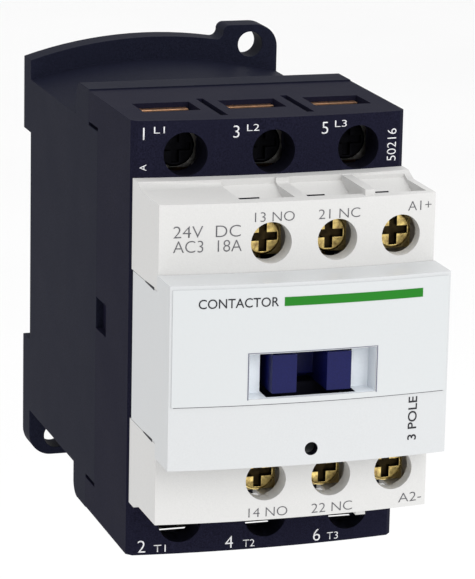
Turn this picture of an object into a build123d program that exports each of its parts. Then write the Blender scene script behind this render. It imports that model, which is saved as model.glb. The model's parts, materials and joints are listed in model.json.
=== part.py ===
"""Three-pole contactor for a 35 mm rail, with a built-in auxiliary pair and a DC coil.

Frame: +X to the right seen from the front, +Z up, +Y into the panel. The origin is the
centre of the rear mounting plane, and depths below are counted from that plane towards
the front, so a depth of 10 lies at y = -10. Millimetres throughout.
"""

from build123d import *
from math import sqrt
import os

# ---- Outside sizes ----
width = 45.0
cover_front = 93.3          # depth of the cover's face at its side edges
front_bow = 1.5             # how far every front face bulges at mid width
pole_front = 71.0           # depth of the power face at its side edges
control_front = 86.1        # depth of the control terminal face at its side edges
base_front = 44.7           # joint between the base and the pole housing
cheek_front = 50.5          # the base's side cheeks reach this far past the joint
pole_half_height = 35.4
base_half_height = 35.6
block_half_height = 30.0
control_half_height = 25.4
cover_half_height = 14.5
wall = 2.2
part_gap = 0.1              # gap between neighbouring mouldings
slide_gap = 0.3             # gap beside anything that slides
seat_gap = 0.05             # gap left where a moving piece comes to rest on another
thread_gap = 0.08           # radial gap round a screw in its thread
spring_end_gap = 0.02       # gap at each end of a coil spring
spring_turns = 5
overcut = 1.0               # how far a cut runs past the face that it opens

# ---- Rear flange, lugs and rail channel ----
flange_thickness = 5.0
flange_side_height = 33.4
flange_mid_height = 36.9
lug_half_height = 38.5
lug_width = 10.0
lug_corner = 4.0
lug_blend = 1.2
mount_hole_inset = 5.0      # from the side edge
mount_hole_z = 35.0
mount_hole_radius = 2.25
rail_bottom = -17.0
rail_height = 35.0
rail_top_room = 2.6
rail_thickness = 1.0
hook_x = 8.5
hook_width = 6.0
hook_lip = 1.4
hook_rear = 1.2

# ---- Base block and its cavity ----
block_arch = 3.0
front_flange_rear = 36.5
front_flange_round = 2.5
channel_floor = 3.0         # wall between the rail channel and the magnet
cavity_half_height = 27.5
cheek_half_height = 29.7
cheek_end_gap = 0.6

# ---- Rail latch ----
latch_half_width = 8.3
latch_rib_half_width = 6.7
latch_rib_rear = 0.3
latch_plate_rear = 1.8
latch_plate_front = 3.6
latch_lip_reach = 1.6
latch_lip_front = 3.6
latch_tab_end = 38.3
latch_spring_x = 4.2
latch_spring_radius = 1.1
latch_spring_wire = 0.4
latch_slot_half_width = 1.6
latch_slot_top = -21.0
latch_post_top = -29.5
latch_post_height = 1.5
latch_pull_half_width = 2.5  # slot for the tip of a screwdriver
latch_pull_half_height = 0.8
latch_pull_inset = 2.0

# ---- Magnet and coil ----
yoke_plate = 4.0
yoke_half_width = 14.0
yoke_leg_inner = 20.0
yoke_leg_thickness = 4.0
pole_face = 36.0
core_radius = 6.0
core_gap = 0.2
bobbin_tube = 1.2
bobbin_flange = 1.5
bobbin_front = 34.0
bobbin_half_width = 19.0
bobbin_side_gap = 0.4
winding_inset = 0.7
winding_corner = 6.0
armature_thickness = 4.0
armature_half_width = 13.5
armature_half_height = 24.0
return_spring_x = 16.4
return_spring_radius = 2.0
return_spring_wire = 0.5

# ---- Travel of the contacts ----
carrier_travel = 4.5
power_overtravel = 1.5
aux_no_overtravel = 1.5
aux_nc_overtravel = 0.9

# ---- Power poles ----
pole_pitch = 14.25
pole_offset = 0.2
chamber_half_width = 5.3
chamber_end = 20.8
chamber_floor = 53.0
chamber_front = 67.6
carrier_slot_half_height = 5.3
pocket_room = 0.5           # each side of a terminal plate
pocket_end = 33.9
pocket_front = 67.4
driver_hole_radius = 3.5
power_screw_z = 30.0
pole_slot_width = 1.2
pole_slot_rear = 55.0
pole_slot_front = 69.0
pole_slot_end = 24.0
face_chamfer = 0.9
contact_bar = 1.6
contact_bar_half_width = 3.2
contact_bar_end = 6.2
contact_z = 9.6
contact_radius = 2.3
fixed_contact = 0.95
moving_contact = 1.0
bridge_thickness = 1.2
bridge_half_width = 2.9
bridge_half_length = 12.4
contact_spring_radius = 2.2
contact_spring_wire = 0.5
terminal_half_width = 4.2
terminal_rear = 57.2
terminal_thickness = 1.8
terminal_end = 34.6         # the plates show in the wire entries, just under the face
power_wire_space = 4.2
power_clamp_inset = 0.2      # how much narrower than its plate a clamp is, each side
power_clamp_half_length = 3.7
power_clamp_thickness = 1.0
power_head_radius = 3.2
power_head_height = 1.75
power_shank_radius = 1.75
power_shank_below = 2.2     # thread past the rear of its terminal
power_shank_well = 3.6
arc_plate_count = 4
arc_plate_thickness = 0.8
arc_plate_pitch = 2.4
arc_plate_first = 57.0
arc_plate_inner = 13.4
arc_plate_outer = 18.4
arc_notch_half_width = 2.0
arc_notch_depth = 1.6
snap_recess_top = 2.3
snap_recess_bottom = -3.0
snap_recess_front = 56.7
snap_recess_depth = 1.2

# ---- Contact carrier ----
carrier_half_width = 18.9
carrier_half_height = 4.5
carrier_base = 3.5
carrier_window_half_width = 3.3
carrier_seat = 2.0
carrier_front_bar = 2.0
carrier_front = 67.0
stem_left = -8.6
stem_right = 9.7
stem_half_height = 4.0
stem_front = 84.0
indicator_inner = 2.4
indicator_outer = 6.4
indicator_half_height = 3.05
indicator_front = 94.2
indicator_link_front = 87.5
indicator_link_inset = 1.0   # how much lower the link is than the blocks

# ---- Control housing ----
control_inset = 0.2         # how much narrower than the object the control housing is
aux_no_x = -4.8
aux_nc_x = 5.9
coil_terminal_inset = 3.8   # from the inner side wall, where the coil's lead comes up
control_screw_z = 19.0
control_pocket_inner = 14.5
control_pocket_outer = 22.9
control_pocket_room = 0.7
control_wall = 1.7
control_floor = 75.2
control_hole_radius = 3.25
control_flange = 1.0
control_flange_front = 73.8
control_bevel_front = 74.8
aux_cavity_left = -9.6
aux_cavity_right = 10.8
aux_pit_rear = 69.4
aux_pit_half_height = 10.8
side_cavity_left = -20.3
side_cavity_gap = 1.5
funnel_rear = 74.8
funnel_slot_rear = 80.0
funnel_slot_front = 84.8
funnel_bottom = 23.4
funnel_spans = ((-9.15, -0.3), (1.8, 10.7), (12.3, 21.2))
funnel_rib = (10.7, 12.3)
funnel_rib_height = 0.9
wire_slot_width = 5.0
wire_slot_rear = 78.2
wire_slot_offset = -1.6
control_plate_half_width = 3.6
control_plate_thickness = 1.2
control_wire_space = 4.2
control_clamp_inset = 0.1
control_clamp_half_length = 3.3
control_clamp_thickness = 0.8
control_head_radius = 2.95
control_head_height = 1.7
control_shank_radius = 1.5
aux_arm_half_width = 1.9
aux_arm_end = 6.2
aux_contact_z = 8.4
aux_contact_radius = 1.4
aux_contact = 0.6
aux_bridge_thickness = 0.6
aux_bridge_half_width = 1.7
aux_bridge_half_length = 10.0
aux_window_half_width = 2.0
aux_window_room = 2.6
aux_nc_window_rear = 69.9
aux_spring_radius = 1.2
aux_spring_wire = 0.35
aux_spring_turns = 3
coil_lead_thickness = 0.6
coil_lead_rear = 33.0
coil_lead_inner = 20.6
coil_lead_outer = 22.6

# ---- Front cover and its label ----
cover_wall = 1.6
cover_side_wall = 1.2
wing_top = 11.8
wing_bottom = -12.3
wing_rear = 71.9
window_half_width = 10.2
window_half_height = 3.55
window_depth = 3.5
window_floor = 1.2
window_frame = 1.6
opening_half_width = 7.4
opening_corner = 1.1
opening_drop = 0.9          # the opening is this much deeper than the window, behind a lip
opening_lip = 0.6
pin_hole_z = -12.0
pin_hole_radius = 1.05
label_inset = 0.4
label_top = 13.9
label_bottom = -4.4
label_thickness = 0.2

# ---- Screws of the housing ----
housing_screw_x = 13.0
housing_screw_z = 29.7
housing_screw_radius = 1.4
housing_screw_end = 50.3
housing_head_radius = 2.3
housing_head_height = 2.0
housing_head_rear = 0.3
recess_width = 1.3
recess_share = 1.6          # recess length as a share of the head's radius
recess_depth = 1.1
head_round_share = 0.25     # rounding of a screw head as a share of its height

# ---- Sizes that follow from the ones above ----
half_width = width / 2
bow_radius = (half_width**2 + front_bow**2) / (2 * front_bow)
cavity_half_width = half_width - wall
lug_inner_x = half_width - lug_width
coil_terminal_x = cavity_half_width - coil_terminal_inset
mount_hole_x = half_width - mount_hole_inset
control_half_width = half_width - control_inset
label_half_width = half_width - label_inset
cavity_floor = flange_thickness + channel_floor
rail_top = rail_bottom + rail_height
channel_top = rail_top + rail_top_room
rail_rear = flange_thickness - rail_thickness - slide_gap
pocket_half_width = terminal_half_width + pocket_room
power_clamp_half_width = terminal_half_width - power_clamp_inset
control_pocket_half_width = control_plate_half_width + control_pocket_room
control_clamp_half_width = control_plate_half_width - control_clamp_inset
pole_centres = [pole_offset + pole_pitch * step for step in (-1, 0, 1)]
sides = (1, -1)
armature_rear = pole_face + carrier_travel + seat_gap
carrier_rear = armature_rear + armature_thickness
fixed_contact_front = chamber_floor + contact_bar + fixed_contact
bridge_rear = (fixed_contact_front + carrier_travel - power_overtravel + seat_gap
               + moving_contact)
bridge_front = bridge_rear + bridge_thickness
carrier_window_front = carrier_front - carrier_front_bar
terminal_front = terminal_rear + terminal_thickness
power_clamp_rear = terminal_front + power_wire_space
power_head_rear = power_clamp_rear + power_clamp_thickness + seat_gap
control_plate_front = control_floor + control_plate_thickness
control_clamp_rear = control_plate_front + control_wire_space
control_head_rear = control_clamp_rear + control_clamp_thickness + seat_gap
control_pocket_front = control_front - control_wall
aux_no_bridge_rear = (control_plate_front + 2 * aux_contact + carrier_travel
                      - aux_no_overtravel + seat_gap)
aux_nc_bridge_front = control_floor - 2 * aux_contact - seat_gap
coil_lead_x = cavity_half_width - coil_lead_thickness
latch_recess_floor = latch_plate_front + slide_gap
control_terminals = {
    "13": (aux_no_x, 1), "14": (aux_no_x, -1),
    "21": (aux_nc_x, 1), "22": (aux_nc_x, -1),
    "a1": (coil_terminal_x, 1), "a2": (coil_terminal_x, -1),
}


def at_depth(depth):
    """Plane parallel to the panel, X to the right and Y up, facing the front."""
    return Plane(origin=(0, -depth, 0), x_dir=(1, 0, 0), z_dir=(0, -1, 0))


def block(x_span, depth_span, z_span, mode=Mode.ADD):
    """Rectangular block between two values of x, of depth and of z."""
    spans = (x_span, [-depth for depth in depth_span], z_span)
    centre = [(low + high) / 2 for low, high in spans]
    sizes = [abs(high - low) for low, high in spans]
    with Locations(tuple(centre)):
        Box(*sizes, mode=mode)


def rod(x, z, radius, depth_span, mode=Mode.ADD):
    """Cylinder along the depth between two depths."""
    rear, front = depth_span
    with Locations((x, -(rear + front) / 2, z)):
        Cylinder(radius, abs(front - rear), rotation=(90, 0, 0), mode=mode)


def about(centre, half):
    """Span of a given half width about a centre."""
    return centre - half, centre + half


def bowed(depth, x=0.0):
    """Depth at x of a bowed face whose side edges lie at the given depth."""
    return depth + front_bow - bow_radius + sqrt(bow_radius**2 - x**2)


def bowed_slab(x_span, rear, front, z_span, rear_bowed=False, mode=Mode.ADD):
    """Slab between two values of z whose front face is bowed, and its rear face if asked."""
    left, right = x_span
    middle = (left + right) / 2
    with BuildSketch(Plane.XY.offset(z_span[0])) as outline:
        with BuildLine():
            ThreePointArc((left, -bowed(front, left)), (middle, -bowed(front, middle)),
                          (right, -bowed(front, right)))
            if rear_bowed:
                ThreePointArc((left, -bowed(rear, left)), (middle, -bowed(rear, middle)),
                              (right, -bowed(rear, right)))
                Line((left, -bowed(rear, left)), (left, -bowed(front, left)))
                Line((right, -bowed(rear, right)), (right, -bowed(front, right)))
            else:
                Polyline((left, -bowed(front, left)), (left, -rear), (right, -rear),
                         (right, -bowed(front, right)))
        make_face()
    extrude(outline.sketch, amount=z_span[1] - z_span[0], mode=mode)


def arched_plate(side_height, mid_height, rear, front, mode=Mode.ADD):
    """Plate parallel to the panel whose top and bottom edges are arcs."""
    with BuildSketch(at_depth(rear)) as outline:
        with BuildLine():
            for side in sides:
                ThreePointArc((-half_width, side * side_height), (0, side * mid_height),
                              (half_width, side * side_height))
            for x in (-half_width, half_width):
                Line((x, -side_height), (x, side_height))
        make_face()
    extrude(outline.sketch, amount=front - rear, mode=mode)


def coil_spring(start, direction, length, radius, wire, turns=spring_turns):
    """Coil spring from a point along a direction, kept just inside its length."""
    low = Vector(*start) + Vector(*direction) * (wire / 2 + spring_end_gap)
    height = length - wire - 2 * spring_end_gap
    with BuildPart() as spring:
        with BuildLine() as path:
            Helix(pitch=height / turns, height=height, radius=radius, center=low,
                  direction=direction)
        with BuildSketch(Plane(origin=path.line @ 0, z_dir=path.line % 0)):
            Circle(wire / 2)
        sweep()
    return spring.part


def screw(x, z, head_rear, head_radius, head_height, shank_radius, shank_rear, slotted=True):
    """Cross-recess screw along the depth, its head to the front."""
    with BuildPart() as fastener:
        rod(x, z, head_radius, (head_rear, head_rear + head_height))
        rim = fastener.edges().filter_by(GeomType.CIRCLE).sort_by(Axis.Y)[0]
        fillet(rim, head_height * head_round_share)
        rod(x, z, shank_radius, (shank_rear, head_rear))
        front = head_rear + head_height
        if slotted:
            half_length = head_radius * recess_share / 2
            for long_x, long_z in ((half_length, recess_width / 2),
                                   (recess_width / 2, half_length)):
                block(about(x, long_x), (front - recess_depth, front), about(z, long_z),
                      mode=Mode.SUBTRACT)
    return fastener.part


os.makedirs("parts", exist_ok=True)


def save(part, name):
    """Label a finished piece and write it under its own name."""
    part.label = name
    export_step(part, f"parts/{name}.step")


# ---- Base housing: rear flange with two lugs, magnet box, front flange and cheeks ----
with BuildPart() as base_housing:
    arched_plate(flange_side_height, flange_mid_height, 0, flange_thickness)
    for side in sides:
        block((side * lug_inner_x, side * half_width), (0, flange_thickness),
              (side * block_half_height, side * lug_half_height))
    upright = base_housing.edges().filter_by(Axis.Y)
    outer_corners = [edge for edge in upright if abs(edge.center().Z) > lug_half_height - 0.1
                     and abs(edge.center().X) > half_width - 0.1]
    fillet(outer_corners, lug_corner)
    upright = base_housing.edges().filter_by(Axis.Y)
    inner_corners = [edge for edge in upright if abs(abs(edge.center().X) - lug_inner_x) < 0.1]
    fillet(inner_corners, lug_blend)
    arched_plate(block_half_height, block_half_height + block_arch, flange_thickness,
                 front_flange_rear)
    with BuildSketch(at_depth(front_flange_rear)) as front_flange:
        Rectangle(width, 2 * base_half_height)
    extrude(amount=base_front - front_flange_rear)
    rear_edges = [edge for edge in base_housing.edges().filter_by(Axis.X)
                  if abs(edge.center().Y + front_flange_rear) < 0.1
                  and abs(edge.center().Z) > base_half_height - 0.1]
    fillet(rear_edges, front_flange_round)
    for side in sides:
        block((side * cavity_half_width, side * half_width), (base_front, cheek_front),
              (-cheek_half_height, cheek_half_height))
    block((-cavity_half_width, cavity_half_width), (cavity_floor, base_front),
          (-cavity_half_height, cavity_half_height), mode=Mode.SUBTRACT)
    # Rail channel right across the back, with two hooks over the rail's top edge.
    block((-half_width, half_width), (0, flange_thickness), (rail_bottom, channel_top),
          mode=Mode.SUBTRACT)
    for side in sides:
        hook_span = (side * hook_x, side * (hook_x + hook_width))
        block(hook_span, (0, flange_thickness), (rail_top + slide_gap, channel_top))
        block(hook_span, (hook_rear, rail_rear), (rail_top - hook_lip, channel_top))
    # Guide for the latch: a T-shaped slot open at the channel and at the bottom edge.
    block((-latch_half_width - slide_gap, latch_half_width + slide_gap),
          (latch_plate_rear - slide_gap, latch_recess_floor),
          (-lug_half_height, rail_bottom), mode=Mode.SUBTRACT)
    block((-latch_rib_half_width - slide_gap, latch_rib_half_width + slide_gap),
          (0, latch_recess_floor), (-lug_half_height, rail_bottom), mode=Mode.SUBTRACT)
    for side in sides:
        block(about(side * latch_spring_x, latch_slot_half_width - slide_gap),
              (latch_rib_rear + slide_gap, latch_recess_floor),
              (latch_post_top - latch_post_height, latch_post_top))
        rod(side * mount_hole_x, side * mount_hole_z, mount_hole_radius,
            (0, flange_thickness), mode=Mode.SUBTRACT)
    for side_x in sides:
        for side_z in sides:
            x = side_x * housing_screw_x
            z = side_z * housing_screw_z
            rod(x, z, housing_head_radius + part_gap,
                (0, housing_head_rear + housing_head_height), mode=Mode.SUBTRACT)
            rod(x, z, housing_screw_radius + part_gap, (0, base_front), mode=Mode.SUBTRACT)
save(base_housing.part, "base_housing")

# ---- Pole housing: three contact chambers and six terminal pockets ----
with BuildPart() as pole_housing:
    bowed_slab((-half_width, half_width), base_front, pole_front,
               (-pole_half_height, pole_half_height))
    front_verticals = [edge for edge in pole_housing.edges().filter_by(Axis.Z)
                       if abs(edge.center().Y + pole_front) < 0.1]
    chamfer(front_verticals, face_chamfer)
    for side in sides:
        block((side * (cavity_half_width - part_gap), side * half_width),
              (base_front, cheek_front),
              about(0, cheek_half_height + cheek_end_gap), mode=Mode.SUBTRACT)
        block((side * half_width, side * (half_width - snap_recess_depth)),
              (cheek_front, snap_recess_front), (snap_recess_bottom, snap_recess_top),
              mode=Mode.SUBTRACT)
    block((-cavity_half_width, cavity_half_width), (base_front, cheek_front),
          (-cavity_half_height, cavity_half_height), mode=Mode.SUBTRACT)
    block(about(0, carrier_half_width + slide_gap), (base_front, chamber_front),
          about(0, carrier_slot_half_height), mode=Mode.SUBTRACT)
    for centre in pole_centres:
        block(about(centre, chamber_half_width), (chamber_floor, chamber_front),
              about(0, chamber_end), mode=Mode.SUBTRACT)
        for side in sides:
            block(about(centre, pocket_half_width), (terminal_rear, pocket_front),
                  (side * chamber_end, side * pocket_end), mode=Mode.SUBTRACT)
            block(about(centre, pocket_half_width),
                  (terminal_rear, power_clamp_rear + power_clamp_thickness),
                  (side * chamber_end, side * pole_half_height), mode=Mode.SUBTRACT)
            rod(centre, side * power_screw_z, driver_hole_radius,
                (pocket_front, pole_front + front_bow), mode=Mode.SUBTRACT)
            rod(centre, side * power_screw_z, power_shank_radius + slide_gap,
                (terminal_rear - power_shank_below - power_shank_well, terminal_rear),
                mode=Mode.SUBTRACT)
    for left, right in zip(pole_centres, pole_centres[1:]):
        for side in sides:
            block(about((left + right) / 2, pole_slot_width / 2),
                  (pole_slot_rear, pole_slot_front),
                  (side * pole_slot_end, side * pole_half_height), mode=Mode.SUBTRACT)
    # Pit for the auxiliary bridges, and the passage of the carrier's stem.
    block((aux_cavity_left, aux_cavity_right), (aux_pit_rear, pole_front + front_bow),
          about(0, aux_pit_half_height), mode=Mode.SUBTRACT)
    block((stem_left - slide_gap, stem_right + slide_gap), (chamber_front, aux_pit_rear),
          about(0, stem_half_height + slide_gap), mode=Mode.SUBTRACT)
    for side in sides:
        block((coil_lead_x - part_gap, cavity_half_width + part_gap),
              (base_front, pole_front + front_bow),
              (side * (coil_lead_inner - part_gap), side * (coil_lead_outer + part_gap)),
              mode=Mode.SUBTRACT)
    for side_x in sides:
        for side_z in sides:
            rod(side_x * housing_screw_x, side_z * housing_screw_z,
                housing_screw_radius + thread_gap, (base_front, housing_screw_end),
                mode=Mode.SUBTRACT)
save(pole_housing.part, "pole_housing")

# ---- Control housing: six terminals round the stem of the carrier ----
with BuildPart() as control_housing:
    bowed_slab((-control_half_width, control_half_width), pole_front, control_front,
               about(0, control_half_height), rear_bowed=True)
    bowed_slab((-control_half_width, control_half_width), pole_front, control_flange_front,
               about(0, control_half_height + control_flange), rear_bowed=True)
    for side in sides:
        # Bevel from the rear flange down to the housing's top and bottom faces.
        with BuildSketch(Plane.YZ.offset(-control_half_width)) as bevel:
            with BuildLine():
                Polyline((-control_flange_front, side * control_half_height),
                         (-control_flange_front, side * (control_half_height + control_flange)),
                         (-bowed(control_bevel_front), side * control_half_height),
                         close=True)
            make_face()
        extrude(bevel.sketch, amount=2 * control_half_width)
        block(funnel_rib, (control_flange_front, control_front),
              (side * control_half_height, side * (control_half_height + funnel_rib_height)))
    block((aux_cavity_left, aux_cavity_right), (pole_front - overcut, control_pocket_front),
          about(0, control_pocket_inner), mode=Mode.SUBTRACT)
    block((side_cavity_left, aux_cavity_left - side_cavity_gap),
          (pole_front - overcut, control_pocket_front),
          about(0, control_pocket_outer), mode=Mode.SUBTRACT)
    block((aux_cavity_right + side_cavity_gap, -side_cavity_left),
          (pole_front - overcut, control_pocket_front),
          about(0, control_pocket_inner - side_cavity_gap), mode=Mode.SUBTRACT)
    block((-indicator_outer - slide_gap, indicator_outer + slide_gap),
          (control_pocket_front, control_front + front_bow),
          about(0, indicator_half_height + slide_gap), mode=Mode.SUBTRACT)
    for x, side in control_terminals.values():
        z = side * control_screw_z
        block(about(x, control_pocket_half_width), (control_floor, control_pocket_front),
              (side * (control_pocket_inner - part_gap), side * control_pocket_outer),
              mode=Mode.SUBTRACT)
        rod(x, z, control_hole_radius, (control_pocket_front, control_front + front_bow),
            mode=Mode.SUBTRACT)
        rod(x, z, control_shank_radius + slide_gap, (pole_front - overcut, control_floor),
            mode=Mode.SUBTRACT)
        block(about(x + wire_slot_offset, wire_slot_width / 2),
              (wire_slot_rear, funnel_slot_front),
              (side * (control_pocket_outer - part_gap), side * control_half_height),
              mode=Mode.SUBTRACT)
        block(about(x + wire_slot_offset, wire_slot_width / 2),
              (control_pocket_front - part_gap, funnel_slot_front),
              (side * (control_screw_z + control_head_radius), side * funnel_bottom),
              mode=Mode.SUBTRACT)
    for left, right in funnel_spans:
        for side in sides:
            with BuildSketch(Plane.YZ.offset(left)) as funnel:
                with BuildLine():
                    Polyline((-funnel_rear, side * control_half_height),
                             (-funnel_slot_rear, side * funnel_bottom),
                             (-funnel_slot_front, side * funnel_bottom),
                             (-funnel_slot_front, side * (control_half_height + control_flange)),
                             (-funnel_rear, side * (control_half_height + control_flange)),
                             close=True)
                make_face()
            extrude(funnel.sketch, amount=right - left, mode=Mode.SUBTRACT)
    for side in sides:
        block((side * (half_width - cover_side_wall - part_gap), side * half_width),
              (pole_front - overcut, control_front + front_bow),
              (wing_bottom - part_gap, wing_top + part_gap), mode=Mode.SUBTRACT)
        block((coil_lead_x - part_gap, cavity_half_width + part_gap),
              (pole_front - overcut, control_floor),
              (side * (coil_lead_inner - part_gap), side * (coil_lead_outer + part_gap)),
              mode=Mode.SUBTRACT)
save(control_housing.part, "control_housing")

# ---- Front cover: bowed cap with a window and two side wings ----
with BuildPart() as front_cover:
    bowed_slab((-half_width, half_width), control_front + part_gap, cover_front,
               about(0, cover_half_height), rear_bowed=True)
    bowed_slab(about(0, half_width - cover_side_wall), pole_front, cover_front - cover_wall,
               about(0, cover_half_height - cover_side_wall), rear_bowed=True,
               mode=Mode.SUBTRACT)
    bowed_slab(about(0, window_half_width + window_frame),
               cover_front - window_depth - window_floor, cover_front,
               about(0, window_half_height + window_frame), rear_bowed=True)
    for side in sides:
        block((side * (half_width - cover_side_wall), side * control_half_width),
              (wing_rear, cover_front - cover_wall), (wing_bottom, wing_top))
    bowed_slab(about(0, window_half_width), cover_front - window_depth,
               cover_front + overcut, about(0, window_half_height), rear_bowed=True,
               mode=Mode.SUBTRACT)
    with BuildSketch(at_depth(pole_front)) as opening:
        with Locations((0, -opening_drop / 2)):
            Rectangle(2 * opening_half_width, 2 * window_half_height + opening_drop)
        chamfer(opening.vertices().group_by(Axis.Z)[0], opening_corner)
    extrude(amount=bowed(cover_front, opening_half_width) - opening_lip - pole_front,
            mode=Mode.SUBTRACT)
    rod(0, pin_hole_z, pin_hole_radius, (pole_front, cover_front + front_bow),
        mode=Mode.SUBTRACT)
save(front_cover.part, "front_cover")

with BuildPart() as front_label:
    bowed_slab(about(0, label_half_width), cover_front, cover_front + label_thickness,
               (label_bottom, label_top), rear_bowed=True)
    block(about(0, window_half_width), (pole_front, cover_front + front_bow + overcut),
          about(0, window_half_height), mode=Mode.SUBTRACT)
save(front_label.part, "front_label")

# ---- Screws that hold the base to the pole housing ----
with BuildPart() as housing_screws:
    for side_x in sides:
        for side_z in sides:
            x = side_x * housing_screw_x
            z = side_z * housing_screw_z
            rod(x, z, housing_head_radius,
                (housing_head_rear, housing_head_rear + housing_head_height))
            rod(x, z, housing_screw_radius,
                (housing_head_rear + housing_head_height, housing_screw_end))
            block(about(x, housing_head_radius * recess_share / 2),
                  (housing_head_rear, housing_head_rear + recess_depth),
                  about(z, recess_width / 2), mode=Mode.SUBTRACT)
            block(about(x, recess_width / 2),
                  (housing_head_rear, housing_head_rear + recess_depth),
                  about(z, housing_head_radius * recess_share / 2), mode=Mode.SUBTRACT)
save(housing_screws.part, "housing_screws")

# ---- Rail latch and its two springs ----
with BuildPart() as rail_latch:
    block(about(0, latch_half_width), (latch_plate_rear, latch_plate_front),
          (-latch_tab_end, rail_bottom - slide_gap))
    block(about(0, latch_rib_half_width), (latch_rib_rear, latch_plate_front),
          (-latch_tab_end, rail_bottom - slide_gap))
    with BuildSketch(Plane.YZ.offset(-latch_rib_half_width)) as lip:
        with BuildLine():
            Polyline((-latch_rib_rear, rail_bottom - slide_gap),
                     (-latch_lip_front, rail_bottom - slide_gap),
                     (-latch_lip_front, rail_bottom + latch_lip_reach),
                     (-(latch_lip_front + latch_rib_rear) / 2, rail_bottom + latch_lip_reach),
                     close=True)
        make_face()
    extrude(lip.sketch, amount=2 * latch_rib_half_width)
    for side in sides:
        block(about(side * latch_spring_x, latch_slot_half_width),
              (latch_rib_rear, latch_plate_front),
              (latch_post_top - latch_post_height - slide_gap, latch_slot_top),
              mode=Mode.SUBTRACT)
    block(about(0, latch_pull_half_width), (latch_rib_rear, latch_plate_front),
          about(-latch_tab_end + latch_pull_inset, latch_pull_half_height),
          mode=Mode.SUBTRACT)
save(rail_latch.part, "rail_latch")

with BuildPart() as rail_latch_springs:
    for side in sides:
        add(coil_spring((side * latch_spring_x, -(latch_rib_rear + latch_plate_front) / 2,
                         latch_post_top), (0, 0, 1), latch_slot_top - latch_post_top,
                        latch_spring_radius, latch_spring_wire))
save(rail_latch_springs.part, "rail_latch_springs")

# ---- Magnet: yoke, core, bobbin and winding ----
with BuildPart() as magnet_yoke:
    yoke_outer = yoke_leg_inner + yoke_leg_thickness
    block(about(0, yoke_half_width), (cavity_floor, cavity_floor + yoke_plate),
          about(0, yoke_outer))
    for side in sides:
        block(about(0, yoke_half_width), (cavity_floor, pole_face),
              (side * yoke_leg_inner, side * yoke_outer))
save(magnet_yoke.part, "magnet_yoke")

with BuildPart() as magnet_core:
    rod(0, 0, core_radius, (cavity_floor + yoke_plate, pole_face))
save(magnet_core.part, "magnet_core")

bobbin_rear = cavity_floor + yoke_plate
bobbin_half_height = yoke_leg_inner - bobbin_side_gap
bobbin_tube_radius = core_radius + core_gap + bobbin_tube
with BuildPart() as coil_bobbin:
    for rear in (bobbin_rear, bobbin_front - bobbin_flange):
        block(about(0, bobbin_half_width), (rear, rear + bobbin_flange),
              about(0, bobbin_half_height))
    rod(0, 0, bobbin_tube_radius, (bobbin_rear, bobbin_front))
    rod(0, 0, core_radius + core_gap, (bobbin_rear, bobbin_front), mode=Mode.SUBTRACT)
save(coil_bobbin.part, "coil_bobbin")

with BuildPart() as coil_winding:
    with BuildSketch(at_depth(bobbin_rear + bobbin_flange)):
        RectangleRounded(2 * (bobbin_half_width - winding_inset),
                         2 * (bobbin_half_height - winding_inset), winding_corner)
        Circle(bobbin_tube_radius + part_gap, mode=Mode.SUBTRACT)
    extrude(amount=bobbin_front - bobbin_rear - 2 * bobbin_flange)
save(coil_winding.part, "coil_winding")

# ---- Moving parts: armature, carrier, bridges and springs ----
with BuildPart() as armature:
    block(about(0, armature_half_width), (armature_rear, carrier_rear),
          about(0, armature_half_height))
save(armature.part, "armature")

with BuildPart() as contact_carrier:
    block(about(0, carrier_half_width), (carrier_rear, carrier_front),
          about(0, carrier_half_height))
    for centre in pole_centres:
        window_x = about(centre, carrier_window_half_width)
        block(window_x, (bridge_rear - seat_gap, carrier_window_front),
              about(0, carrier_half_height), mode=Mode.SUBTRACT)
        block(window_x, (carrier_rear + carrier_base, bridge_rear - seat_gap - carrier_seat),
              about(0, carrier_half_height), mode=Mode.SUBTRACT)
    block((stem_left, stem_right), (carrier_front, stem_front), about(0, stem_half_height))
    block(about(aux_no_x, aux_window_half_width),
          (aux_no_bridge_rear - seat_gap, aux_no_bridge_rear + aux_window_room),
          about(0, stem_half_height), mode=Mode.SUBTRACT)
    block(about(aux_nc_x, aux_window_half_width),
          (aux_nc_window_rear, aux_nc_bridge_front + aux_nc_overtravel + seat_gap),
          about(0, stem_half_height), mode=Mode.SUBTRACT)
    for side in sides:
        block((side * indicator_inner, side * indicator_outer), (stem_front, indicator_front),
              about(0, indicator_half_height))
    block(about(0, indicator_inner), (stem_front, indicator_link_front),
          about(0, indicator_half_height - indicator_link_inset))
save(contact_carrier.part, "contact_carrier")

for number, centre in enumerate(pole_centres, start=1):
    with BuildPart() as power_bridge:
        block(about(centre, bridge_half_width), (bridge_rear, bridge_front),
              about(0, bridge_half_length))
        for side in sides:
            rod(centre, side * contact_z, contact_radius,
                (bridge_rear - moving_contact, bridge_rear))
    save(power_bridge.part, f"power_bridge_{number}")

for name, x, rear in (("aux_bridge_no", aux_no_x, aux_no_bridge_rear),
                      ("aux_bridge_nc", aux_nc_x, aux_nc_bridge_front - aux_bridge_thickness)):
    with BuildPart() as aux_bridge:
        block(about(x, aux_bridge_half_width), (rear, rear + aux_bridge_thickness),
              about(0, aux_bridge_half_length))
        button = (rear - aux_contact, rear)
        if name == "aux_bridge_nc":
            button = (rear + aux_bridge_thickness, rear + aux_bridge_thickness + aux_contact)
        for side in sides:
            rod(x, side * aux_contact_z, aux_contact_radius, button)
    save(aux_bridge.part, name)

with BuildPart() as contact_springs:
    for centre in pole_centres:
        add(coil_spring((centre, -bridge_front, 0), (0, -1, 0),
                        carrier_window_front - bridge_front,
                        contact_spring_radius, contact_spring_wire))
save(contact_springs.part, "contact_springs")

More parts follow.
